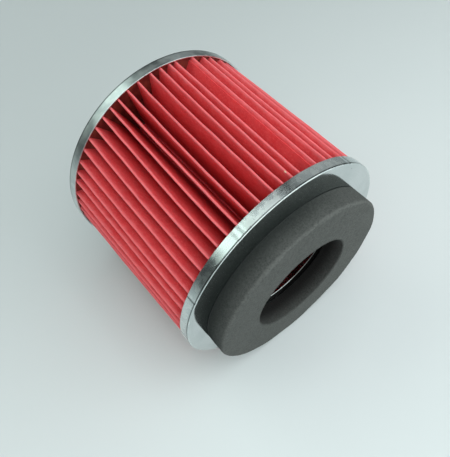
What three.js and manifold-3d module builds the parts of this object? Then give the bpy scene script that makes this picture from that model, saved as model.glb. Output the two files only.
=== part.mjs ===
// A round pleated-paper air filter element for a motorcycle, lying on its side.
//
// Frame: the filter's axis is parallel to Y. The open end, with the foam gasket, faces -Y and the
// closed end faces +Y. +Z is up, the rims stand on z = 0, and the origin is under the middle of the
// whole element. Lengths are in millimetres. Along the axis a place is given as a station: 0 is the
// outer face of the front end cap, BODY_LENGTH is the outer face of the rear end cap, and the foam
// gasket lies at negative stations.

import * as THREE from 'three';
import { mergeVertices } from 'three/addons/utils/BufferGeometryUtils.js';
import Module from 'manifold-3d';

const wasm = await Module();
wasm.setup();

// ---- Driving dimensions --------------------------------------------------------------------

const CAP_RADIUS = 54;
const BODY_LENGTH = 90;
const RIM_HEIGHT = 5;
const SHEET_THICKNESS = 0.6;
const BEND_RADIUS = 1;

const OUTLET_RADIUS = 26;
const OUTLET_LIP_HEIGHT = 3.6;
const RECESS_RADIUS = 24;
const RECESS_DEPTH = 1.5;

const GASKET_RADIUS = 46.5;
const GASKET_HOLE_RADIUS = 25.5;
const GASKET_THICKNESS = 10;
const GASKET_EDGE_ROUNDING = 0.8;
const GASKET_DROP = 7.2;
const GASKET_SHIFT = 2.5;
const FILM_THICKNESS = 0.3;
const FILM_INSET = 0.5;

const PLEAT_COUNT = 58;
const PLEAT_OUTER_RADIUS = 53;
const PLEAT_INNER_RADIUS = 28.9;
const PAPER_THICKNESS = 0.45;
const FOLD_RADIUS = 0.6;
const FOLD_STEPS = 4;
const SEAM_ANGLE = THREE.MathUtils.degToRad(-77);
const SEAM_GLUE_THICKNESS = 0.3;
const LAP_SHORTFALL = 2;

const CORE_INNER_RADIUS = 27.5;
const CORE_THICKNESS = 0.8;
const CORE_SIDES = 24;
const WINDOW_WIDTH = 5;
const WINDOW_LENGTH = 9;
const WINDOW_ROWS = 7;

const POTTING_DEPTH = 3.4;
const JOINT_GAP = 0.05;
const RIM_SIDES = 48;
const BEND_STEPS = 3;

// ---- Dimensions that follow ----------------------------------------------------------------

const POTTING_BOTTOM = SHEET_THICKNESS + JOINT_GAP;
const POTTING_TOP = POTTING_BOTTOM + POTTING_DEPTH;
const MEDIA_START = POTTING_TOP + JOINT_GAP;
const MEDIA_LENGTH = BODY_LENGTH - 2 * MEDIA_START;
const GASKET_FACE = -FILM_THICKNESS - GASKET_THICKNESS;
const MIDDLE_STATION = (BODY_LENGTH + GASKET_FACE) / 2;
const PITCH = (2 * Math.PI) / PLEAT_COUNT;

// ---- Materials -----------------------------------------------------------------------------

const platedSteel = { color: 0xb9c0c2, roughness: 0.25, metalness: 1 };
const coreSteel = { color: 0x8f9493, roughness: 0.5, metalness: 1 };
const redPaper = { color: 0xbe3c3e, roughness: 0.85, metalness: 0 };
const charcoalFoam = { color: 0x525654, roughness: 0.95, metalness: 0 };
const castAdhesive = { color: 0x8a6e4a, roughness: 0.5, metalness: 0 };
const clearGlue = { color: 0xd8c7a2, roughness: 0.4, metalness: 0 };

// ---- Shape helpers -------------------------------------------------------------------------

/** Points of a profile's rounded corner, from one angle to another about its centre. */
function corner(radius, station, rounding, fromDegrees, toDegrees) {
  return Array.from({ length: BEND_STEPS + 1 }, (_, step) => {
    const degrees = fromDegrees + ((toDegrees - fromDegrees) * step) / BEND_STEPS;
    const angle = THREE.MathUtils.degToRad(degrees);
    return [radius + rounding * Math.cos(angle), station + rounding * Math.sin(angle)];
  });
}

/**
 * A solid turned about the filter's axis from a profile of [radius, station] points.
 * Radii are measured to the middle of each flat side, so that a flat side, not a corner, is lowest.
 */
function turned(profile, sides = RIM_SIDES) {
  const halfSide = Math.PI / sides;
  const cornerRatio = 1 / Math.cos(halfSide);
  const points = profile.map(([radius, station]) => new THREE.Vector2(radius * cornerRatio, station));
  return new THREE.LatheGeometry(points, sides, halfSide, 2 * Math.PI);
}

/** Closes a profile of a ring on itself. */
function ring(profile) {
  return [...profile, profile[0]];
}

/** A plain ring between two radii and two stations. */
function plainRing(innerRadius, outerRadius, fromStation, toStation) {
  return ring([
    [innerRadius, fromStation],
    [outerRadius, fromStation],
    [outerRadius, toStation],
    [innerRadius, toStation],
  ]);
}

/** Mirrors a profile end for end, so that a shape made for the front fits the rear. */
function atRear(profile) {
  return profile.map(([radius, station]) => [radius, BODY_LENGTH - station]).reverse();
}

/** Turns a flat outline into a prism along the axis. The outline's x is +X and its y is -Z. */
function prismAlongAxis(outline, startStation, length) {
  const geometry = new THREE.ExtrudeGeometry(new THREE.Shape(outline), {
    depth: length,
    bevelEnabled: false,
  });
  geometry.rotateX(-Math.PI / 2);
  geometry.translate(0, startStation, 0);
  return geometry;
}

function toManifold(geometry) {
  const bare = geometry.clone();
  bare.deleteAttribute('normal');
  bare.deleteAttribute('uv');
  const merged = mergeVertices(bare, 1e-4);
  return new wasm.Manifold(new wasm.Mesh({
    numProp: 3,
    vertProperties: new Float32Array(merged.attributes.position.array),
    triVerts: new Uint32Array(merged.index.array),
  }));
}

function fromManifold(solid) {
  const mesh = solid.getMesh();
  const geometry = new THREE.BufferGeometry();
  geometry.setAttribute('position', new THREE.BufferAttribute(mesh.vertProperties, mesh.numProp));
  geometry.setIndex(new THREE.BufferAttribute(mesh.triVerts, 1));
  geometry.computeVertexNormals();
  return geometry;
}

// ---- Pleated media -------------------------------------------------------------------------

/** A point of an outline across the axis: angle 0 is +X and a quarter turn is down, -Z. */
function polar(radius, angle) {
  return new THREE.Vector2(radius * Math.cos(angle), radius * Math.sin(angle));
}

/**
 * The unit normal of the flank that runs from one fold to the next, towards the dirty-air side.
 * A fold is a circle that the paper wraps: side is 1 round a crest and -1 round a valley.
 */
function flankNormal(from, to) {
  const run = to.centre.clone().sub(from.centre);
  const distance = run.length();
  run.divideScalar(distance);
  const right = new THREE.Vector2(run.y, -run.x);
  const lean = (from.side * from.radius - to.side * to.radius) / distance;
  return run.multiplyScalar(lean).add(right.multiplyScalar(Math.sqrt(1 - lean * lean)));
}

function crest(index) {
  const angle = SEAM_ANGLE + (index + 0.5) * PITCH;
  return { centre: polar(PLEAT_OUTER_RADIUS - FOLD_RADIUS, angle), radius: FOLD_RADIUS, side: 1 };
}

function valley(index) {
  const angle = SEAM_ANGLE + index * PITCH;
  return { centre: polar(PLEAT_INNER_RADIUS + FOLD_RADIUS, angle), radius: FOLD_RADIUS, side: -1 };
}

const LAP_SPACING = PAPER_THICKNESS + SEAM_GLUE_THICKNESS + 2 * JOINT_GAP;
const stripStart = {
  centre: polar(PLEAT_INNER_RADIUS + LAP_SHORTFALL, SEAM_ANGLE),
  radius: 0,
  side: -1,
};
const lapNormal = flankNormal(stripStart, crest(0));
const lapDirection = new THREE.Vector2(-lapNormal.y, lapNormal.x);
const lapLength = PLEAT_OUTER_RADIUS - PLEAT_INNER_RADIUS - 2 * LAP_SHORTFALL;

/** A point near the lap: along the first flank from the strip's start, and off it. */
function lapPoint(along, off) {
  return stripStart.centre.clone()
    .addScaledVector(lapDirection, along)
    .addScaledVector(lapNormal, off);
}

/** The folds in order round the axis, from the strip's first cut end to its last. */
function folds() {
  const list = [stripStart, crest(0)];
  for (let index = 1; index < PLEAT_COUNT; index += 1) {
    list.push(valley(index), crest(index));
  }
  const lastValley = { ...valley(PLEAT_COUNT), centre: lapPoint(-FOLD_RADIUS, LAP_SPACING + FOLD_RADIUS) };
  const stripEnd = { centre: lapPoint(lapLength, LAP_SPACING), radius: 0, side: 1 };
  return [...list, lastValley, stripEnd];
}

/** Points of one face of the paper round one fold: face is 1 for the dirty side, -1 for the clean. */
function foldPoints(fold, arriving, leaving, face) {
  const reach = fold.radius + (face * fold.side * PAPER_THICKNESS) / 2;
  const start = arriving.clone().multiplyScalar(fold.side).angle();
  const end = leaving.clone().multiplyScalar(fold.side).angle();
  const turn = fold.side * (end - start);
  const sweep = fold.side * (turn < 0 ? turn + 2 * Math.PI : turn);
  const steps = fold.radius > 0 ? FOLD_STEPS : 0;
  return Array.from({ length: steps + 1 }, (_, step) => {
    const angle = start + (steps > 0 ? (sweep * step) / steps : 0);
    return fold.centre.clone().add(polar(reach, angle));
  });
}

/** One folded strip, cut square at both ends. */
function mediaOutline() {
  const list = folds();
  const normals = list.slice(1).map((fold, index) => flankNormal(list[index], fold));
  const face = (side) => list.flatMap((fold, index) => {
    const leaving = normals[Math.min(index, normals.length - 1)];
    const arriving = normals[Math.max(index - 1, 0)];
    return foldPoints(fold, arriving, leaving, side);
  });
  return [...face(1), ...face(-1).reverse()];
}

function pleatedMedia() {
  return prismAlongAxis(mediaOutline(), MEDIA_START, MEDIA_LENGTH);
}

/** The layer of glue between the two ends of the strip, which lap on one flank. */
function seamGlue() {
  const near = PAPER_THICKNESS / 2 + JOINT_GAP;
  const far = near + SEAM_GLUE_THICKNESS;
  const start = LAP_SHORTFALL / 2;
  const end = lapLength - LAP_SHORTFALL / 2;
  const outline = [
    lapPoint(start, near),
    lapPoint(start, far),
    lapPoint(end, far),
    lapPoint(end, near),
  ];
  return prismAlongAxis(outline, MEDIA_START, MEDIA_LENGTH);
}

// ---- End caps ------------------------------------------------------------------------------

/** The outer bend and rim of a cap, from its face outwards and back in. */
function rimProfile() {
  const bendRadius = CAP_RADIUS - BEND_RADIUS;
  return [
    ...corner(bendRadius, BEND_RADIUS, BEND_RADIUS, -90, 0),
    [CAP_RADIUS, RIM_HEIGHT],
    [CAP_RADIUS - SHEET_THICKNESS, RIM_HEIGHT],
    ...corner(bendRadius, BEND_RADIUS, BEND_RADIUS - SHEET_THICKNESS, 0, -90),
  ];
}

/** A ring-shaped trough: a rim outside, a flat face, and a lip turned in round the outlet. */
function frontEndCap() {
  const lipBend = OUTLET_RADIUS + BEND_RADIUS;
  return turned(ring([
    ...rimProfile(),
    ...corner(lipBend, BEND_RADIUS, BEND_RADIUS - SHEET_THICKNESS, -90, -180),
    [OUTLET_RADIUS + SHEET_THICKNESS, OUTLET_LIP_HEIGHT],
    [OUTLET_RADIUS, OUTLET_LIP_HEIGHT],
    ...corner(lipBend, BEND_RADIUS, BEND_RADIUS, -180, -90),
  ]));
}

/** A closed cup whose middle is pressed in by a shallow step that stiffens it. */
function rearEndCap() {
  const stepRadius = RECESS_RADIUS + RECESS_DEPTH;
  return turned(atRear([
    [0, RECESS_DEPTH],
    [RECESS_RADIUS, RECESS_DEPTH],
    [stepRadius, 0],
    ...rimProfile(),
    [stepRadius, SHEET_THICKNESS],
    [RECESS_RADIUS, RECESS_DEPTH + SHEET_THICKNESS],
    [0, RECESS_DEPTH + SHEET_THICKNESS],
  ]));
}

// ---- Adhesives -----------------------------------------------------------------------------

/** The cast ring that fills a cap's trough and holds the ends of the paper and the core. */
function pottingProfile() {
  const innerRadius = OUTLET_RADIUS + SHEET_THICKNESS + JOINT_GAP;
  const outerRadius = CAP_RADIUS - SHEET_THICKNESS - JOINT_GAP;
  const cut = BEND_RADIUS;
  return ring([
    [innerRadius + cut, POTTING_BOTTOM],
    [outerRadius - cut, POTTING_BOTTOM],
    [outerRadius, POTTING_BOTTOM + cut],
    [outerRadius, POTTING_TOP],
    [innerRadius, POTTING_TOP],
    [innerRadius, POTTING_BOTTOM + cut],
  ]);
}

function gasketFilm() {
  const innerRadius = GASKET_HOLE_RADIUS + FILM_INSET;
  const outerRadius = GASKET_RADIUS - FILM_INSET;
  return turned(plainRing(innerRadius, outerRadius, -FILM_THICKNESS, 0));
}

// ---- Foam gasket ---------------------------------------------------------------------------

function foamGasket() {
  const front = GASKET_FACE + GASKET_EDGE_ROUNDING;
  return turned(ring([
    ...corner(GASKET_RADIUS - GASKET_EDGE_ROUNDING, front, GASKET_EDGE_ROUNDING, -90, 0),
    [GASKET_RADIUS, -FILM_THICKNESS],
    [GASKET_HOLE_RADIUS, -FILM_THICKNESS],
    [GASKET_HOLE_RADIUS, GASKET_FACE],
  ]));
}

// ---- Inner core ----------------------------------------------------------------------------

/** Bars across the tube: each cuts a window through two opposite walls. */
function windowBars() {
  const rowPitch = MEDIA_LENGTH / WINDOW_ROWS;
  const barLength = 3 * CORE_INNER_RADIUS;
  const bars = [];
  for (let row = 0; row < WINDOW_ROWS; row += 1) {
    for (let turn = 0; turn < CORE_SIDES / 2; turn += 1) {
      const bar = new THREE.BoxGeometry(barLength, WINDOW_LENGTH, WINDOW_WIDTH);
      bar.rotateY((turn * 2 * Math.PI) / CORE_SIDES);
      bar.translate(0, MEDIA_START + (row + 0.5) * rowPitch, 0);
      bars.push(toManifold(bar));
    }
  }
  return wasm.Manifold.union(bars);
}

function innerCore() {
  const outerRadius = CORE_INNER_RADIUS + CORE_THICKNESS;
  const end = MEDIA_START + MEDIA_LENGTH;
  const tube = turned(plainRing(CORE_INNER_RADIUS, outerRadius, MEDIA_START, end), CORE_SIDES);
  return fromManifold(toManifold(tube).subtract(windowBars()));
}

// ---- The assembly --------------------------------------------------------------------------

function piece(name, geometry, look) {
  const mesh = new THREE.Mesh(geometry, new THREE.MeshStandardMaterial(look));
  mesh.name = name;
  return mesh;
}

/** The foam and its film sit below the filter's axis and a little to one side of it. */
function gasketGroup() {
  const group = new THREE.Group();
  group.position.set(GASKET_SHIFT, 0, -GASKET_DROP);
  group.add(
    piece('foam_gasket', foamGasket(), charcoalFoam),
    piece('gasket_film', gasketFilm(), clearGlue),
  );
  return group;
}

const airFilter = new THREE.Group();
airFilter.position.set(0, -MIDDLE_STATION, CAP_RADIUS);
airFilter.add(
  gasketGroup(),
  piece('front_end_cap', frontEndCap(), platedSteel),
  piece('rear_end_cap', rearEndCap(), platedSteel),
  piece('front_potting', turned(pottingProfile()), castAdhesive),
  piece('rear_potting', turned(atRear(pottingProfile())), castAdhesive),
  piece('pleated_media', pleatedMedia(), redPaper),
  piece('seam_glue', seamGlue(), clearGlue),
  piece('inner_core', innerCore(), coreSteel),
);

export default airFilter;
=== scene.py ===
import math

import bpy
import numpy as np
from mathutils import Matrix, Vector, noise


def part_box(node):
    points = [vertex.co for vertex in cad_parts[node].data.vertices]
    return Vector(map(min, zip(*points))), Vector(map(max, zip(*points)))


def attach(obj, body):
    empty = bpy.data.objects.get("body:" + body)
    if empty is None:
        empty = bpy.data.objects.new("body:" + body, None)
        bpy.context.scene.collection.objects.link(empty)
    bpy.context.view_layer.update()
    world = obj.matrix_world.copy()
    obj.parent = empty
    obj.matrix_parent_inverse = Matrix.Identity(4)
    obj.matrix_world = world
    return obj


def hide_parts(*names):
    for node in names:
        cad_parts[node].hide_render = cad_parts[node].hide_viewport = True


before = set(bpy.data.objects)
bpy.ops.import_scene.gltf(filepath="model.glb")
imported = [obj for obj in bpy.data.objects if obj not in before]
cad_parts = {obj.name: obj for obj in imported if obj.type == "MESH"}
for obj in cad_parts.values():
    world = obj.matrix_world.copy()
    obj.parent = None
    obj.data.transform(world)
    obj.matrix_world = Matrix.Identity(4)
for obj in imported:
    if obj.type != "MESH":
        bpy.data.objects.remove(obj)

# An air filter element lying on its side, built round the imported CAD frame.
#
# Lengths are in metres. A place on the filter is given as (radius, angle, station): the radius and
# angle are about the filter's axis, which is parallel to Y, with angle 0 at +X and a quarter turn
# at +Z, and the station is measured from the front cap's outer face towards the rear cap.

MM = 0.001
TURN = 2 * math.pi

# ---- Places and sizes, all from the frame --------------------------------------------------

def box_corners(node):
    """The low and the high corner of a CAD node's box."""
    low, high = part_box(node)
    return Vector(low), Vector(high)


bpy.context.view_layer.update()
front_low, front_high = box_corners("front_end_cap")
rear_high = box_corners("rear_end_cap")[1]
media_low, media_high = box_corners("pleated_media")
gasket_low, gasket_high = box_corners("foam_gasket")
core_low, core_high = box_corners("inner_core")
potting_high = box_corners("front_potting")[1]

FACE_Y = front_low.y
AXIS_Z = (front_low.z + front_high.z) / 2
CAP_RADIUS = (front_high.x - front_low.x) / 2
RIM_HEIGHT = front_high.y - front_low.y
BODY_LENGTH = rear_high.y - front_low.y
MEDIA_RADIUS = (media_high.x - media_low.x) / 2
CORE_RADIUS = (core_high.x - core_low.x) / 2
POTTING_TOP = potting_high.y - FACE_Y
GASKET_RADIUS = (gasket_high.x - gasket_low.x) / 2
GASKET_CENTRE = ((gasket_low.x + gasket_high.x) / 2, (gasket_low.z + gasket_high.z) / 2 - AXIS_Z)
GASKET_BACK = gasket_high.y - FACE_Y
GASKET_FACE = gasket_low.y - FACE_Y

# ---- Sizes that the frame's boxes don't hold -----------------------------------------------

# The end caps. INNER_BEND is the radius of a bend's inside. BURR is the cut edge's small chamfer.
SHEET = 0.6 * MM
BEND = 0.4 * MM
INNER_BEND = 0.15 * MM
BURR = 0.12 * MM
OUTLET_RADIUS = 26 * MM
LIP_HEIGHT = 3.6 * MM
RECESS_RADIUS = 24 * MM
RECESS_DEPTH = 1.5 * MM

# The paper. The folds are the radii of its centre line. The lap is in the gap at SEAM_ANGLE, from
# LAP_START to LAP_END as shares of its flank. LEAN is how far the crests turn towards the rear.
PLEATS = 58
PAPER = 0.45 * MM
MEDIA_INNER_RADIUS = 28.9 * MM
CREST_FOLD = 0.25 * MM
VALLEY_FOLD = 0.6 * MM
SEAM_ANGLE = math.radians(78.6)
LAP_START = 0.05
LAP_END = 0.9
LAP_GLUE = 0.3 * MM
LEAN = math.radians(3.7)

# How far the ends of the paper and of the core reach into the potting.
SUNK = 1.5 * MM

# The gasket, and the core: how thick its strands are, and how deep their middle lies.
GASKET_HOLE_RADIUS = 25.5 * MM
STRAND = 0.75 * MM
CORE_INSET = 0.4 * MM

ON_AXIS = (0.0, 0.0)


def at(radius, angle, station, centre=ON_AXIS):
    """The point at a place on the filter, or about a centre that is off its axis by (x, z)."""
    x = centre[0] + radius * math.cos(angle)
    z = AXIS_Z + centre[1] + radius * math.sin(angle)
    return Vector((x, FACE_Y + station, z))


def wander(seed, *place):
    """A smooth random number, about -1 to 1, that depends on up to three coordinates.

    The seed only has to differ from one use to the next.
    """
    x, y, z = (list(place) + [0.0, 0.0])[:3]
    return noise.noise(Vector((x + 17.3 * seed, y - 5.1 * seed, z + 9.7 * seed)))


# ---- Node helpers --------------------------------------------------------------------------

# Sockets of the Mix node when it mixes colours. Their names repeat, so they go by number.
MIX_FIRST, MIX_SECOND, MIX_RESULT = 6, 7, 2


class Shader:
    """A material's node tree, with short calls to add nodes."""

    def __init__(self, name, **values):
        self.material = bpy.data.materials.new(name)
        self.material.use_nodes = True
        self.tree = self.material.node_tree
        self.surface = self.tree.nodes["Principled BSDF"]
        for socket, value in values.items():
            self.surface.inputs[socket.replace("_", " ")].default_value = value

    def node(self, kind, inputs=None, **settings):
        """A new node, with values or links put into the named or numbered inputs."""
        made = self.tree.nodes.new("ShaderNode" + kind)
        for key, value in settings.items():
            setattr(made, key, value)
        for key, value in (inputs or {}).items():
            self.put(value, made.inputs[key])
        return made

    def put(self, value, socket):
        """Link an output to a socket, or set the socket's value."""
        if isinstance(value, bpy.types.NodeSocket):
            self.tree.links.new(value, socket)
        else:
            socket.default_value = value

    def set(self, socket, value):
        """Put a value or an output into a socket of the surface."""
        self.put(value, self.surface.inputs[socket])

    def math(self, operation, *values):
        inputs = dict(enumerate(values))
        return self.node("Math", inputs, operation=operation).outputs[0]

    def coordinates(self, stretch=(1.0, 1.0, 1.0)):
        """Object coordinates in millimetres, scaled by stretch."""
        place = self.node("TexCoord").outputs["Object"]
        scale = tuple(s / MM for s in stretch)
        return self.node("VectorMath", {0: place, 1: scale}, operation="MULTIPLY").outputs[0]

    def noise(self, size, stretch=(1.0, 1.0, 1.0), detail=3.0, roughness=0.5):
        """Noise whose features are about size millimetres across."""
        inputs = {
            "Vector": self.coordinates(stretch),
            "Scale": 1.0 / size,
            "Detail": detail,
            "Roughness": roughness,
        }
        return self.node("TexNoise", inputs).outputs["Fac"]

    def cells(self, size):
        """The distance to a cell's middle, in a pattern of cells about size millimetres across."""
        inputs = {"Vector": self.coordinates(), "Scale": 1.0 / size}
        return self.node("TexVoronoi", inputs).outputs["Distance"]

    def radius(self, centre=ON_AXIS):
        """The distance from the filter's axis, or from a line beside it, in millimetres."""
        place = self.node("TexCoord").outputs["Object"]
        back = (-centre[0], 0, -AXIS_Z - centre[1])
        centred = self.node("VectorMath", {0: place, 1: back}, operation="ADD")
        across = self.node(
            "VectorMath", {0: centred.outputs[0], 1: (1 / MM, 0, 1 / MM)}, operation="MULTIPLY"
        )
        return self.node("VectorMath", {0: across.outputs[0]}, operation="LENGTH").outputs["Value"]

    def turned_noise(self, across, along, detail=2.0):
        """Noise drawn out round the filter: across and along are its grain's sizes in mm."""
        place = self.node("SeparateXYZ", {0: self.coordinates()})
        height = self.math("SUBTRACT", place.outputs["Z"], AXIS_Z / MM)
        angle = self.math("ARCTAN2", height, place.outputs["X"])
        round_mm = self.math("MULTIPLY", angle, CAP_RADIUS / MM / along)
        radius = self.math("DIVIDE", self.radius(), across)
        station = self.math("DIVIDE", place.outputs["Y"], across)
        inputs = {0: round_mm, 1: radius, 2: station}
        vector = self.node("CombineXYZ", inputs).outputs[0]
        settings = {"Vector": vector, "Scale": 1.0, "Detail": detail}
        return self.node("TexNoise", settings).outputs["Fac"]

    def remap(self, value, low, high, to_low=0.0, to_high=1.0):
        """The value moved smoothly from the range low to high into the range to_low to to_high."""
        inputs = {
            "Value": value,
            "From Min": low,
            "From Max": high,
            "To Min": to_low,
            "To Max": to_high,
        }
        made = self.node("MapRange", inputs, interpolation_type="SMOOTHSTEP")
        return made.outputs["Result"]

    def mix(self, factor, first, second):
        """A colour between the first, at factor 0, and the second, at factor 1."""
        made = self.node("Mix", {"Factor": factor}, data_type="RGBA")
        self.put(first, made.inputs[MIX_FIRST])
        self.put(second, made.inputs[MIX_SECOND])
        return made.outputs[MIX_RESULT]

    def bump(self, height, strength, distance_mm, base=None):
        """A normal tilted by a height, on top of a base normal if there is one."""
        inputs = {"Height": height, "Strength": strength, "Distance": distance_mm * MM}
        if base is not None:
            inputs["Normal"] = base
        return self.node("Bump", inputs).outputs["Normal"]


# ---- Materials -----------------------------------------------------------------------------
#
# The values in these materials are in millimetres, because the nodes' coordinates are.

CAP_MM = CAP_RADIUS / MM
OUTLET_MM = OUTLET_RADIUS / MM
MEDIA_MM = MEDIA_RADIUS / MM
MEDIA_INNER_MM = MEDIA_INNER_RADIUS / MM
GASKET_MM = GASKET_RADIUS / MM
GASKET_HOLE_MM = GASKET_HOLE_RADIUS / MM
GASKET_THICKNESS_MM = (GASKET_BACK - GASKET_FACE) / MM

# The side of the outlet that is shaded.
SHADE_ANGLE = math.radians(318)


def shade_round_outlet(steel, radius, place):
    """Where shade is painted on the front cap beside the outlet, mostly on SHADE_ANGLE's side."""
    height = steel.math("SUBTRACT", place.outputs["Z"], AXIS_Z / MM)
    along = steel.math(
        "ADD",
        steel.math("MULTIPLY", place.outputs["X"], math.cos(SHADE_ANGLE)),
        steel.math("MULTIPLY", height, math.sin(SHADE_ANGLE)),
    )
    shaded_side = steel.remap(along, 0.78 * OUTLET_MM, 0.9 * OUTLET_MM)
    near_outlet = steel.remap(radius, OUTLET_MM + 6.0, OUTLET_MM + 8.0, 0.9, 0.0)
    on_lip = steel.remap(radius, OUTLET_MM + 0.2, OUTLET_MM + 1.2, 0.5, 0.0)
    return steel.math("MAXIMUM", on_lip, steel.math("MULTIPLY", shaded_side, near_outlet))


def plated_steel(name, dents, haze, has_outlet):
    """Zinc-plated sheet: a mirror-like face, a satin rim with rolling lines, a painted dark reflection
    between.

    dents is how deep the sheet's waves are in millimetres, and haze the rim's least roughness.
    """
    steel = Shader(name, Metallic=1.0)
    cloud = steel.noise(9.0, detail=4.0)
    blotch = steel.noise(3.4, detail=2.0, roughness=0.4)
    streak = steel.turned_noise(0.25, 14.0, detail=3.0)
    scratch = steel.turned_noise(0.2, 8.0, detail=1.0)
    radius = steel.radius()
    place = steel.node("SeparateXYZ", {0: steel.coordinates()})
    rim = steel.remap(radius, CAP_MM - 0.9, CAP_MM - 0.3)
    face = steel.mix(steel.remap(cloud, 0.3, 0.7), (0.55, 0.59, 0.59, 1), (0.63, 0.665, 0.665, 1))
    bright = steel.mix(rim, face, (0.71, 0.76, 0.75, 1))
    patches = steel.math("MULTIPLY", rim, steel.remap(blotch, 0.36, 0.64, 0.45, 0.0))
    patchy = steel.mix(patches, bright, (0.40, 0.45, 0.47, 1))
    lined = steel.mix(steel.remap(streak, 0.4, 0.7, 0.0, 0.2), patchy, (0.40, 0.43, 0.43, 1))
    specks = steel.remap(steel.cells(9.0), 0.02, 0.04, 0.75, 0.0)
    specked = steel.mix(specks, lined, (0.06, 0.06, 0.06, 1))

    # Painted dark reflection on the outer bend and on the rim just behind it.
    middle = (FACE_Y + BODY_LENGTH / 2) / MM
    from_middle = steel.math("ABSOLUTE", steel.math("SUBTRACT", place.outputs["Y"], middle))
    station = steel.math("SUBTRACT", BODY_LENGTH / 2 / MM, from_middle)
    behind_bend = steel.math(
        "MULTIPLY", steel.remap(station, 0.12, 0.3), steel.remap(station, 0.55, 0.95, 0.8, 0.0)
    )
    painted_reflection = steel.math("MULTIPLY", rim, behind_bend)
    colour = steel.mix(painted_reflection, specked, (0.045, 0.055, 0.055, 1))
    if has_outlet:
        colour = steel.mix(shade_round_outlet(steel, radius, place), colour, (0.07, 0.065, 0.06, 1))
    steel.set("Base Color", colour)

    face_polish = steel.remap(cloud, 0.3, 0.75, 0.07, 0.11)
    rim_polish = steel.remap(blotch, 0.3, 0.7, haze, haze + 0.08)
    polish = steel.node("Mix", {"Factor": rim, 2: face_polish, 3: rim_polish}, data_type="FLOAT")
    steel.set("Roughness", polish.outputs[0])
    wavy = steel.bump(steel.noise(7.0, detail=1.0), 1.0, dents)
    pressed = steel.bump(blotch, steel.math("MULTIPLY", rim, 0.12), 0.04, base=wavy)
    steel.set("Normal", steel.bump(scratch, steel.math("MULTIPLY", rim, 0.1), 0.02, base=pressed))
    return steel.material


def red_paper():
    """Resin-treated filter paper: fibrous, mottled, paler along the crests, with painted light deep
    inside.
    """
    paper = Shader("red_filter_paper", Roughness=0.7, Specular_IOR_Level=0.18)
    radius = paper.radius()
    mottle = paper.noise(5.0, detail=5.0, roughness=0.6)
    fibre = paper.noise(0.5, stretch=(1.0, 0.45, 1.0), detail=3.0, roughness=0.7)
    deep = paper.mix(paper.remap(mottle, 0.3, 0.7), (0.72, 0.056, 0.066, 1), (0.80, 0.080, 0.088, 1))
    fleck = paper.mix(paper.remap(fibre, 0.45, 0.75), deep, (0.84, 0.115, 0.12, 1))
    ragged_radius = paper.math(
        "ADD", radius, paper.math("MULTIPLY", paper.math("SUBTRACT", mottle, 0.5), 1.2)
    )
    pale_band = paper.remap(ragged_radius, MEDIA_MM - 1.9, MEDIA_MM - 0.1, 0.0, 0.6)
    outside = paper.mix(pale_band, fleck, (0.92, 0.23, 0.25, 1))
    # Painted light: brighter red deep inside, towards the core.
    inner = paper.remap(radius, MEDIA_INNER_MM + 1.0, MEDIA_INNER_MM + 6.0, 1.0, 0.0)
    paper.set("Base Color", paper.mix(inner, outside, (0.90, 0.11, 0.13, 1)))
    paper.set("Subsurface Weight", 0.45)
    paper.set("Subsurface Radius", (1.0, 0.25, 0.25))
    paper.set("Subsurface Scale", 1.2 * MM)
    paper.set("Normal", paper.bump(fibre, 0.5, 0.06))
    return paper.material


def charcoal_foam():
    """Open-cell foam: fine dark pores, paler along its outer edge; painted shade near the cap and deep
    in its hole.
    """
    foam = Shader("charcoal_foam", Roughness=0.95, Specular_IOR_Level=0.15)
    pores = foam.cells(0.5)
    web = foam.noise(0.9, detail=4.0, roughness=0.7)
    dust = foam.noise(14.0, detail=3.0)
    base = foam.mix(foam.remap(pores, 0.1, 0.6), (0.048, 0.051, 0.048, 1), (0.078, 0.081, 0.077, 1))
    mottled = foam.mix(foam.remap(web, 0.36, 0.66), base, (0.104, 0.108, 0.102, 1))
    dusty = foam.mix(foam.remap(dust, 0.45, 0.75, 0.0, 0.3), mottled, (0.11, 0.113, 0.108, 1))
    radius = foam.radius(GASKET_CENTRE)
    place = foam.node("SeparateXYZ", {0: foam.coordinates()})
    from_front = foam.math("SUBTRACT", place.outputs["Y"], (FACE_Y + GASKET_FACE) / MM)
    edge = foam.math("SUBTRACT", foam.math("SUBTRACT", radius, from_front), GASKET_MM)
    ragged_edge = foam.math("ADD", edge, foam.math("MULTIPLY", web, 1.2))
    pale_band = foam.remap(ragged_edge, -1.0, 0.0, 0.0, 0.75)
    pale_edged = foam.mix(pale_band, dusty, (0.14, 0.144, 0.137, 1))

    # Painted shade: darker towards the cap, and more so on the left side.
    thickness = GASKET_THICKNESS_MM
    near_cap = foam.remap(from_front, 0.05 * thickness, thickness, 0.1, 0.8)
    left_side = foam.remap(place.outputs["X"], -5.0, 0.8 * GASKET_MM, 1.0, 0.1)
    shade = foam.math("MULTIPLY", near_cap, left_side)
    shaded = foam.mix(shade, pale_edged, (0.010, 0.013, 0.012, 1))
    # Painted shade: the hole's wall is darker the deeper it goes.
    in_hole = foam.remap(radius, GASKET_HOLE_MM + 0.3, GASKET_HOLE_MM + 1.2, 1.0, 0.0)
    deep = foam.remap(from_front, 0.0, 0.8 * thickness, 0.3, 0.92)
    inside = foam.math("MULTIPLY", in_hole, deep)
    foam.set("Base Color", foam.mix(inside, shaded, (0.009, 0.008, 0.008, 1)))
    foam.set("Normal", foam.bump(web, 0.6, 0.14, base=foam.bump(pores, 0.7, 0.15)))
    return foam.material


def cast_adhesive():
    """The dark red adhesive that the caps are filled with."""
    adhesive = Shader("cast_adhesive", Roughness=0.35)
    cloud = adhesive.noise(3.0, detail=3.0)
    depth = adhesive.remap(cloud, 0.3, 0.7)
    colour = adhesive.mix(depth, (0.12, 0.014, 0.014, 1), (0.20, 0.045, 0.03, 1))
    adhesive.set("Base Color", colour)
    adhesive.set("Normal", adhesive.bump(cloud, 0.5, 0.3))
    return adhesive.material


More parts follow.
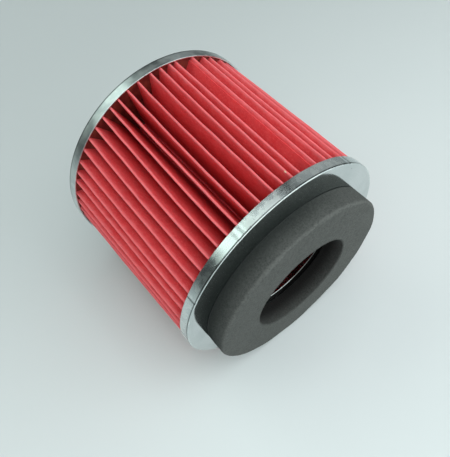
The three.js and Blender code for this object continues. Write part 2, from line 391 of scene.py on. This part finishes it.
def cream_glue():
    """The pale glue of the lap seam and of the drop."""
    glue = Shader("cream_glue", Roughness=0.3)
    cloud = glue.noise(0.8, detail=2.0)
    glue.set("Base Color", glue.mix(cloud, (0.72, 0.36, 0.25, 1), (0.84, 0.54, 0.42, 1)))
    glue.set("Normal", glue.bump(cloud, 0.4, 0.1))
    return glue.material


def gasket_film():
    """The dark self-adhesive film on the gasket's back."""
    film = Shader("dark_adhesive_film", Roughness=0.7)
    cloud = film.noise(2.0, detail=2.0)
    film.set("Base Color", film.mix(cloud, (0.010, 0.012, 0.011, 1), (0.018, 0.020, 0.019, 1)))
    return film.material


def core_steel():
    """Dull steel, uneven from being cut and stretched."""
    steel = Shader("core_steel", Metallic=1.0)
    cloud = steel.noise(2.5, detail=4.0)
    steel.set("Base Color", steel.mix(cloud, (0.34, 0.35, 0.35, 1), (0.55, 0.56, 0.56, 1)))
    steel.set("Roughness", steel.remap(cloud, 0.3, 0.7, 0.35, 0.6))
    steel.set("Normal", steel.bump(steel.noise(0.5, detail=2.0), 0.4, 0.05))
    return steel.material


def pale_floor():
    """A pale sheet with painted shade: it turns greyer towards the back and far away from the filter.
    """
    floor = Shader("pale_floor", Roughness=0.6, Specular_IOR_Level=0.3)
    cloud = floor.noise(90.0, detail=2.0)
    pale = floor.mix(cloud, (0.665, 0.70, 0.705, 1), (0.685, 0.72, 0.725, 1))
    # Painted shade: greyer towards the back, and again far from the filter.
    depth = floor.node("SeparateXYZ", {0: floor.coordinates()}).outputs["Y"]
    shaded = floor.mix(floor.remap(depth, -120.0, 260.0), pale, (0.56, 0.59, 0.595, 1))
    distance = floor.node("VectorMath", {0: floor.coordinates()}, operation="LENGTH")
    far = floor.remap(distance.outputs["Value"], 330.0, 620.0)
    floor.set("Base Color", floor.mix(far, shaded, (0.30, 0.31, 0.31, 1)))
    return floor.material


# ---- Mesh helpers --------------------------------------------------------------------------

def solid(name, vertices, faces, material, sharp_degrees=38):
    """A smooth-shaded object from points and faces, riding on the filter."""
    mesh = bpy.data.meshes.new(name)
    mesh.from_pydata([tuple(v) for v in vertices], [], faces)
    mesh.validate()
    mesh.polygons.foreach_set("use_smooth", [True] * len(mesh.polygons))
    mesh.set_sharp_from_angle(angle=math.radians(sharp_degrees))
    mesh.materials.append(material)
    made = bpy.data.objects.new(name, mesh)
    bpy.context.scene.collection.objects.link(made)
    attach(made, "root")
    return made


def arc(radius, station, rounding, from_degrees, to_degrees, steps):
    """Points of a profile's rounded corner."""
    points = []
    for step in range(steps + 1):
        angle = math.radians(from_degrees + (to_degrees - from_degrees) * step / steps)
        points.append((radius + rounding * math.cos(angle), station + rounding * math.sin(angle)))
    return points


def run(start, end, spacing):
    """Points between two profile points, neither of them included, about spacing apart."""
    length = math.dist(start, end)
    count = max(1, round(length / spacing))
    return [
        (
            start[0] + (end[0] - start[0]) * step / count,
            start[1] + (end[1] - start[1]) * step / count,
        )
        for step in range(1, count)
    ]


def grid_faces(rows, columns):
    """Quads of a grid that closes on itself both ways."""
    faces = []
    for row in range(rows):
        below = (row + 1) % rows
        for column in range(columns):
            beside = (column + 1) % columns
            faces.append((
                row * columns + column,
                row * columns + beside,
                below * columns + beside,
                below * columns + column,
            ))
    return faces


def turned_ring(name, profile, material, steps=320, centre=ON_AXIS, warp=None, sharp_degrees=38):
    """A ring turned from a closed profile of (radius, station). warp moves each point a little."""
    vertices = []
    for step in range(steps):
        angle = TURN * step / steps
        for radius, station in profile:
            place = (radius, angle, station)
            if warp is not None:
                place = warp(*place)
            vertices.append(at(*place, centre=centre))
    return solid(name, vertices, grid_faces(steps, len(profile)), material, sharp_degrees)


# ---- End caps ------------------------------------------------------------------------------

# How finely a cap's inside, outside and rim are divided, and how far from a bend the first point is.
INNER_STEP = 6 * MM
OUTER_STEP = 5 * MM
RIM_STEP = 0.7 * MM
BEND_MARGIN = 0.4 * MM


def rim_profile():
    """A cap's outer bend and rim, from its outer face round to its inner face."""
    bend_radius = CAP_RADIUS - BEND
    inside = CAP_RADIUS - SHEET
    return [
        (bend_radius - BEND_MARGIN, 0.0),
        *arc(bend_radius, BEND, BEND, -90, 0, steps=8),
        *run((CAP_RADIUS, BEND), (CAP_RADIUS, RIM_HEIGHT), RIM_STEP),
        (CAP_RADIUS, RIM_HEIGHT - BURR),
        (CAP_RADIUS - BURR, RIM_HEIGHT),
        (inside, RIM_HEIGHT),
        *arc(inside - INNER_BEND, SHEET + INNER_BEND, INNER_BEND, 0, -90, steps=4),
    ]


# Marks on the front cap's rim: where each one is, how wide, and how deep.
RIM_MARKS = [
    (math.radians(154), math.radians(0.5), 0.22 * MM),
    (math.radians(120), math.radians(0.9), 0.16 * MM),
    (math.radians(117), math.radians(0.7), 0.12 * MM),
    (math.radians(57), math.radians(0.7), 0.15 * MM),
]


# How deep the dents are, how wide they are along the rim, and where they begin and are full.
DENT_DEPTH = 0.03 * MM
DENT_WIDTH = 4 * MM
DENTS_BEGIN = CAP_RADIUS - 4 * MM
DENTS_FULL = CAP_RADIUS - 1 * MM


def dented(seed, marks=()):
    """Shallow press and handling marks on a cap's rim, which fade out over its flat face."""
    def warp(radius, angle, station):
        fade = min(1.0, max(0.0, (radius - DENTS_BEGIN) / (DENTS_FULL - DENTS_BEGIN)))
        where = (9 * math.cos(angle), 9 * math.sin(angle), station / DENT_WIDTH)
        dent = DENT_DEPTH * (1 + wander(seed, *where))
        dent += DENT_DEPTH * wander(seed + 1, *(0.4 * w for w in where))
        for place, width, depth in marks:
            dent += depth * math.exp(-(((angle - place) / width) ** 2))
        return radius - fade * dent, angle, station
    return warp


def front_end_cap(material):
    """The open cap: a trough between the rim and a lip that is turned in round the outlet."""
    lip_bend = OUTLET_RADIUS + BEND
    neck = OUTLET_RADIUS + SHEET
    profile = [
        *rim_profile(),
        *run((CAP_RADIUS - 2 * BEND, SHEET), (neck + 2 * BEND, SHEET), INNER_STEP),
        *arc(neck + INNER_BEND, SHEET + INNER_BEND, INNER_BEND, -90, -180, steps=4),
        (neck, LIP_HEIGHT),
        (OUTLET_RADIUS, LIP_HEIGHT),
        *arc(lip_bend, BEND, BEND, -180, -90, steps=8),
        (lip_bend + BEND_MARGIN, 0.0),
        *run((lip_bend, 0.0), (CAP_RADIUS - BEND, 0.0), OUTER_STEP),
    ]
    made = turned_ring("front_cap_sheet", profile, material, steps=720, warp=dented(3, RIM_MARKS))
    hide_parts("front_end_cap")


def rear_end_cap(material):
    """The closed cap: like the front one, with its middle pressed in by a shallow step.

    A turned ring has no middle, so a pinhole 0.4 mm across is left there.
    """
    step = RECESS_DEPTH
    band = RECESS_RADIUS + 1.6 * step
    slope_top = RECESS_RADIUS + 0.4 * step
    slope_foot = RECESS_RADIUS - 0.4 * step
    pinhole = 0.2 * MM
    front = [
        *rim_profile(),
        *run((CAP_RADIUS - 2 * BEND, SHEET), (RECESS_RADIUS + 2 * step, SHEET), INNER_STEP),
        (band, SHEET),
        (slope_top, step + SHEET),
        (slope_foot, step + SHEET),
        *run((RECESS_RADIUS - step, step + SHEET), (pinhole, step + SHEET), INNER_STEP),
        (pinhole, step + SHEET),
        (pinhole, step),
        *run((pinhole, step), (RECESS_RADIUS - step, step), INNER_STEP),
        (slope_foot, step),
        (slope_top, step),
        (band, 0.0),
        (RECESS_RADIUS + 2.2 * step, 0.0),
        *run((RECESS_RADIUS + 2 * step, 0.0), (CAP_RADIUS - BEND, 0.0), OUTER_STEP),
    ]
    profile = [(radius, BODY_LENGTH - station) for radius, station in reversed(front)]
    made = turned_ring("rear_cap_sheet", profile, material, warp=dented(8))
    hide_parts("rear_end_cap")


# ---- Pleated media -------------------------------------------------------------------------

# How much wider or narrower than even the gap before a crest is, counted from the lap seam.
# A strip that is folded by machine and closed by hand never spreads quite evenly.
UNEVEN_GAPS = {
    0: 1.62, 1: 0.64, 2: 0.84, 3: 0.86, 4: 1.14, 7: 0.9, 12: 1.08, 14: 0.86, 15: 1.34,
    -1: 1.1, -2: 0.76, -3: 1.3,
}

# How finely the paper is divided along the filter, round a fold, and over a flank.
STATION_STEPS = 40
FOLD_STEPS = 6
FLANK_STEPS = 5

# How far a crest sways and ripples, how low it may lie, how high a valley, how far flanks bulge.
SWAY = math.radians(0.45)
RIPPLE = math.radians(0.13)
LOW_CREST = 0.35 * MM
HIGH_VALLEY = 0.4 * MM
BULGE = 0.22 * MM


def crest_angles():
    """The angle of each crest at the front, in turn from the first crest past the seam."""
    gaps = np.array([1 + 0.07 * wander(21, 3.7 * k) for k in range(PLEATS)])
    for place, factor in UNEVEN_GAPS.items():
        gaps[place % PLEATS] = factor
    gaps *= TURN / gaps.sum()
    return SEAM_ANGLE + gaps[0] / 2 + np.concatenate([[0], np.cumsum(gaps[1:])])


def fold_centres(station, crests):
    """Centre, radius and side (1 for a crest) of every fold's arc, at one station."""
    along = station / BODY_LENGTH
    folds = []
    for k in range(PLEATS):
        following = crests[(k + 1) % PLEATS] + (TURN if k == PLEATS - 1 else 0)
        lean = LEAN * (1 + 0.35 * wander(5, 0.25 * k)) * along ** 1.5
        sway = SWAY * wander(31, 2.2 * k, 2.2 * along) * 4 * along * (1 - along)
        sway += RIPPLE * wander(37, 5.1 * k, 13.0 * along)
        low = LOW_CREST * abs(wander(33, 2.2 * k, 3.0 * along))
        high = HIGH_VALLEY * abs(wander(35, 2.2 * k))
        crest_radius = MEDIA_RADIUS - CREST_FOLD - PAPER / 2 - low
        folds.append((crests[k] - lean + sway, crest_radius, CREST_FOLD, 1))
        middle = (crests[k] + following) / 2 - 0.6 * lean
        folds.append((middle, MEDIA_INNER_RADIUS + VALLEY_FOLD + high, VALLEY_FOLD, -1))
    angle, radius, bend, side = (np.array(column) for column in zip(*folds))
    centres = np.stack([radius * np.cos(angle), radius * np.sin(angle)], axis=1)
    return centres, bend, side


def pleat_section(station, crests):
    """One station of the paper: its centre line with outward normals, and the glue in its lap.

    The sheet starts as the outer ply of the lap, close below the last crest. It ends as the inner
    ply, on the same flank.
    """
    along = station / BODY_LENGTH
    centres, bend, side = fold_centres(station, crests)
    direction = np.roll(centres, -1, axis=0) - centres
    length = np.linalg.norm(direction, axis=1, keepdims=True)
    direction /= length
    right = np.stack([direction[:, 1], -direction[:, 0]], axis=1)
    slant = (side * (bend + np.roll(bend, -1)))[:, None] / length
    normal = slant * direction + np.sqrt(1 - slant ** 2) * right

    def flank(k, share, lift=0.0):
        leave = centres[k] + bend[k] * side[k] * normal[k]
        reach = centres[(k + 1) % len(side)] - bend[(k + 1) % len(side)] * side[k] * normal[k]
        wave = wander(41, 1.7 * k, 2.5 * along, 1.5 * share) * math.sin(math.pi * share)
        return leave + (reach - leave) * share + (lift + BULGE * wave) * normal[k]

    def fold(k):
        arriving, leaving = side[k] * normal[k - 1], side[k] * normal[k]
        start = math.atan2(arriving[1], arriving[0])
        sweep = (side[k] * (math.atan2(leaving[1], leaving[0]) - start)) % TURN
        for step in range(FOLD_STEPS + 1):
            turned = start + side[k] * sweep * step / FOLD_STEPS
            out = np.array([math.cos(turned), math.sin(turned)])
            yield centres[k] + bend[k] * out, side[k] * out

    last_crest, seam_valley = 2 * PLEATS - 2, 2 * PLEATS - 1
    section = [
        (flank(last_crest, share, PAPER + LAP_GLUE), normal[last_crest])
        for share in np.linspace(LAP_START, LAP_END, 2 * FLANK_STEPS)
    ]
    section += fold(seam_valley)
    for k in [seam_valley, *range(last_crest + 1)]:
        if k != seam_valley:
            section += fold(k)
        steps = np.arange(1, FLANK_STEPS) / FLANK_STEPS
        if k == last_crest:
            steps = steps * LAP_END
        section += [(flank(k, share), normal[k]) for share in steps]
    glue = [
        (flank(last_crest, share, (PAPER + LAP_GLUE) / 2), normal[last_crest])
        for share in np.linspace(LAP_START + 0.02, LAP_END - 0.1, 2 * FLANK_STEPS)
    ]
    return section, glue


def sheet(name, sections, stations, thickness, material, sharp_degrees=50):
    """A solid sheet along the filter, from its centre line and normals at each station."""
    rings = []
    for section, station in zip(sections, stations):
        points, normals = (np.array(column) for column in zip(*section))
        offset = normals * thickness / 2
        both = np.concatenate([points + offset, (points - offset)[::-1]])
        ring = np.full((len(both), 3), FACE_Y + station)
        ring[:, 0] = both[:, 0]
        ring[:, 2] = AXIS_Z + both[:, 1]
        rings.append(ring)
    size = len(rings[0])
    half = size // 2
    faces = []
    for row in range(len(rings) - 1):
        here, ahead = row * size, (row + 1) * size
        faces += [
            (here + k, here + (k + 1) % size, ahead + (k + 1) % size, ahead + k) for k in range(size)
        ]
    last = (len(rings) - 1) * size
    for k in range(half - 1):
        across = size - 1 - k
        faces.append((k + 1, k, across, across - 1))
        faces.append((last + k, last + k + 1, last + across - 1, last + across))
    return solid(name, np.concatenate(rings), faces, material, sharp_degrees)


def pleated_media(paper, glue):
    """One sheet of paper, folded round the filter and lapped, its ends set in the potting."""
    crests = crest_angles()
    start = POTTING_TOP - SUNK
    stations = np.linspace(start, BODY_LENGTH - start, STATION_STEPS)
    sections, glues = zip(*(pleat_section(station, crests) for station in stations))
    media = sheet("folded_paper", sections, stations, PAPER, paper)
    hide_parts("pleated_media")
    bead = sheet("lap_glue", glues, stations, LAP_GLUE, glue)
    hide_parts("seam_glue")


# ---- Foam gasket ---------------------------------------------------------------------------

# How finely the foam is divided, and how near to a wall a point belongs to it.
FOAM_GRAIN = 0.5 * MM
FOAM_WALL = 0.6 * MM

# The hole's torn edge: where it is torn the most, how deep, and how far from the hole.
TORN_ANGLE = math.radians(115)
TORN_DEPTH = 1.5 * MM
TORN_REACH = 3 * MM


def foam_gasket(material):
    """A die-cut foam ring with soft outer edges and a roughly cut hole."""
    outer_round = 1.7 * MM
    inner_round = 0.6 * MM
    outside = GASKET_RADIUS
    hole = GASKET_HOLE_RADIUS
    front = GASKET_FACE
    profile = [
        *run((outside, GASKET_BACK), (outside, front + outer_round), FOAM_GRAIN),
        *arc(outside - outer_round, front + outer_round, outer_round, 0, -90, steps=9),
        *run((outside - outer_round, front), (hole + inner_round, front), FOAM_GRAIN),
        *arc(hole + inner_round, front + inner_round, inner_round, -90, -180, steps=4),
        *run((hole, front + inner_round), (hole, GASKET_BACK), FOAM_GRAIN),
        (hole, GASKET_BACK),
        (outside, GASKET_BACK),
    ]
    profile.reverse()

    def warp(radius, angle, station):
        place = at(radius, angle, station) / MM
        around = (math.cos(angle), math.sin(angle))
        depth = (GASKET_BACK - station) / (GASKET_BACK - front)
        grain = 0.10 * MM * wander(55, *(place * 1.1)) + 0.05 * MM * wander(57, *(place * 2.3))
        swell = 0.2 * MM * wander(59, *(place * 0.09))
        wobble = 0.25 * MM * wander(51, *(2.5 * a for a in around))
        near_hole = max(0.0, 1 - (radius - hole) / TORN_REACH)
        torn_part = max(0.1, math.cos(angle - TORN_ANGLE)) ** 2
        tear = TORN_DEPTH * near_hole * torn_part * abs(wander(53, *(26 * a for a in around)))
        on_wall = radius > outside - FOAM_WALL or radius < hole + FOAM_WALL
        if near_hole == 0:
            radius += wobble * min(1.0, 3 * depth)
        radius -= tear * depth
        if on_wall:
            radius += grain * min(1.0, 4 * depth)
        else:
            station += depth * (grain + swell)
        return radius, angle, station

    made = turned_ring(
        "foam_ring", profile, material, steps=560, centre=GASKET_CENTRE, warp=warp, sharp_degrees=80
    )
    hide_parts("foam_gasket")


def gasket_adhesive(material):
    """The film that holds the gasket, cut a little back from the foam's edges."""
    inner = GASKET_HOLE_RADIUS + 0.5 * MM
    outer = GASKET_RADIUS - 0.15 * MM
    profile = [
        (inner, GASKET_BACK),
        (inner, 0.0),
        *run((inner, 0.0), (outer, 0.0), OUTER_STEP),
        (outer, 0.0),
        (outer, GASKET_BACK),
        *run((outer, GASKET_BACK), (inner, GASKET_BACK), OUTER_STEP),
    ]
    profile.reverse()
    made = turned_ring("gasket_film_ring", profile, material, steps=200, centre=GASKET_CENTRE)
    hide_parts("gasket_film")


# ---- Potting and the glue drop -------------------------------------------------------------

# The room left for the rim's dents, and the potting's waves: how wide and how high they are.
POTTING_ROOM = 0.16 * MM
WAVE_WIDTH = 4 * MM
WAVE_HEIGHT = 0.35 * MM


def potting(name, node, rear, material):
    """The cast ring in a cap's trough, with a wavy top."""
    inner = OUTLET_RADIUS + SHEET
    outer = CAP_RADIUS - SHEET - POTTING_ROOM
    bottom = SHEET
    profile = [
        (inner, bottom),
        *run((inner, bottom), (outer, bottom), WAVE_WIDTH),
        (outer, bottom),
        (outer, POTTING_TOP),
        *run((outer, POTTING_TOP), (inner, POTTING_TOP), 1.2 * MM),
        (inner, POTTING_TOP),
    ]
    if rear:
        profile = [(radius, BODY_LENGTH - station) for radius, station in profile]
    else:
        profile.reverse()

    def warp(radius, angle, station):
        height = BODY_LENGTH - station if rear else station
        if height < POTTING_TOP - 0.1 * MM:
            return radius, angle, station
        waves = radius / WAVE_WIDTH
        rise = WAVE_HEIGHT * wander(61, waves * math.cos(angle), waves * math.sin(angle))
        return radius, angle, station - rise if rear else station + rise

    made = turned_ring(name, profile, material, steps=240, warp=warp)
    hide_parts(node)


def glue_drop(material):
    """A drop of adhesive that ran onto a crest beside the seam, close to the front rim."""
    rows, columns = 16, 24
    place = at(MEDIA_RADIUS - 0.25 * MM, math.radians(87.9), 9.0 * MM)
    half_size = Vector((0.34, 0.66, 0.34)) * MM
    vertices = []
    for row in range(rows + 1):
        tilt = math.pi * row / rows
        for column in range(columns):
            turned = TURN * column / columns
            out = Vector((
                math.sin(tilt) * math.cos(turned), math.cos(tilt), math.sin(tilt) * math.sin(turned)
            ))
            lump = 1 + 0.25 * wander(71, *(out * 1.7))
            vertices.append(place + lump * out * half_size)
    faces = grid_faces(rows + 1, columns)[:rows * columns]
    made = solid("glue_drop", vertices, faces, material)


# ---- Inner core ----------------------------------------------------------------------------

def inner_core(material):
    """A tube of expanded metal: diamond openings between slanting strands."""
    around = 30
    rows = 19
    start = core_low.y - FACE_Y - SUNK
    end = core_high.y - FACE_Y + SUNK
    radius = CORE_RADIUS - CORE_INSET
    vertices = [
        at(radius, TURN * (column + 0.5 * (row % 2)) / around, start + (end - start) * row / rows)
        for row in range(rows + 1)
        for column in range(around)
    ]
    faces = []
    for row in range(1, rows):
        for column in range(around):
            middle = (column + row % 2) % around
            left = row * around + column
            right = row * around + (column + 1) % around
            below = (row - 1) * around + middle
            above = (row + 1) * around + middle
            faces.append((left, below, right, above))
    made = solid("expanded_metal_core", vertices, faces, material, sharp_degrees=30)
    strands = made.modifiers.new("strands", "WIREFRAME")
    strands.thickness = STRAND
    strands.use_even_offset = False
    strands.use_boundary = True
    strands.use_replace = True
    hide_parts("inner_core")


# ---- Floor, lights and camera --------------------------------------------------------------

COOL = (0.93, 1.0, 1.0)
ROOM_BRIGHTNESS = 0.05

# Each cool light's name, azimuth and elevation in degrees, distance, size and brightness.
COOL_LIGHTS = [
    ("front_window_left", -100, 14, 0.8, (0.7, 0.7), 1.9),
    ("front_window_right", -50, 14, 0.8, (0.7, 0.7), 1.9),
    ("upper_front", -90, 58, 1.0, (0.62, 0.62), 1.3),
    ("upper_right", -30, 55, 1.0, (0.62, 0.62), 1.9),
    ("upper_left", -140, 60, 1.0, (0.6, 0.6), 1.5),
    ("left", -145, 25, 1.0, (0.62, 0.62), 0.8),
    ("ceiling", 0, 90, 1.2, (0.8, 0.8), 1.9),
    ("right", 25, 25, 1.0, (0.9, 0.7), 0.38),
    ("behind", 90, 15, 1.0, (0.7, 0.7), 0.45),
]


def floor(material):
    """The pale sheet that the filter lies on."""
    size = 4.0
    mesh = bpy.data.meshes.new("floor")
    corners = [(-size, -size, 0), (size, -size, 0), (size, size, 0), (-size, size, 0)]
    mesh.from_pydata(corners, [], [(0, 1, 2, 3)])
    mesh.materials.append(material)
    made = bpy.data.objects.new("floor", mesh)
    bpy.context.scene.collection.objects.link(made)


def soft_light(name, azimuth, elevation, distance, size, brightness, colour):
    """A flat panel light, seen from the filter in the given direction, its width along X."""
    width, height = size
    light = bpy.data.lights.new(name, "AREA")
    light.shape = "RECTANGLE"
    light.size = width
    light.size_y = height
    light.energy = brightness * math.pi * width * height
    light.color = colour
    turn, rise = math.radians(azimuth), math.radians(elevation)
    towards = Vector((math.cos(rise) * math.cos(turn), math.cos(rise) * math.sin(turn), math.sin(rise)))
    side = Vector((1, 0, 0)) - towards * towards.x
    side.normalize()
    made = bpy.data.objects.new(name, light)
    made.location = Vector((0, 0, AXIS_Z)) + towards * distance
    made.rotation_euler = Matrix((side, towards.cross(side), towards)).transposed().to_euler()
    bpy.context.scene.collection.objects.link(made)


def surroundings():
    """A dim room round the lights."""
    world = bpy.data.worlds.new("dim_room")
    bpy.context.scene.world = world
    world.use_nodes = True
    background = world.node_tree.nodes["Background"]
    background.inputs["Color"].default_value = (*COOL, 1)
    background.inputs["Strength"].default_value = ROOM_BRIGHTNESS


# The camera's place in cap radii from the middle of the front cap's face, and its direction.
CAMERA_FROM_FACE = Vector((-1.704, -1.280, 3.615))
CAMERA_TURN = math.radians(-39.9)
CAMERA_DOWN = math.radians(56.2)
LENS_MM = 39.9
SENSOR_MM = 36.0


def camera():
    """A camera above the filter's open end and to its left, level, looking down at the filter."""
    lens = bpy.data.cameras.new("camera")
    lens.lens = LENS_MM
    lens.sensor_width = SENSOR_MM
    made = bpy.data.objects.new("camera", lens)
    made.location = Vector((0, FACE_Y, AXIS_Z)) + CAMERA_FROM_FACE * CAP_RADIUS
    made.rotation_euler = (math.pi / 2 - CAMERA_DOWN, 0, CAMERA_TURN)
    bpy.context.scene.collection.objects.link(made)
    bpy.context.scene.camera = made


# ---- The scene -----------------------------------------------------------------------------

camera()
surroundings()
for light in COOL_LIGHTS:
    soft_light(*light, COOL)
soft_light("bright_panel", 131, 45, 1.2, (1.1, 0.5), 2.1, (0.84, 1.0, 0.93))
floor(pale_floor())

front_end_cap(plated_steel("front_plated_steel", dents=0.02, haze=0.22, has_outlet=True))
rear_end_cap(plated_steel("rear_plated_steel", dents=0.04, haze=0.3, has_outlet=False))
glue = cream_glue()
pleated_media(red_paper(), glue)
foam_gasket(charcoal_foam())
gasket_adhesive(gasket_film())
adhesive = cast_adhesive()
potting("front_potting_ring", "front_potting", False, adhesive)
potting("rear_potting_ring", "rear_potting", True, adhesive)
glue_drop(glue)
inner_core(core_steel())

bpy.context.scene.view_settings.view_transform = "Standard"
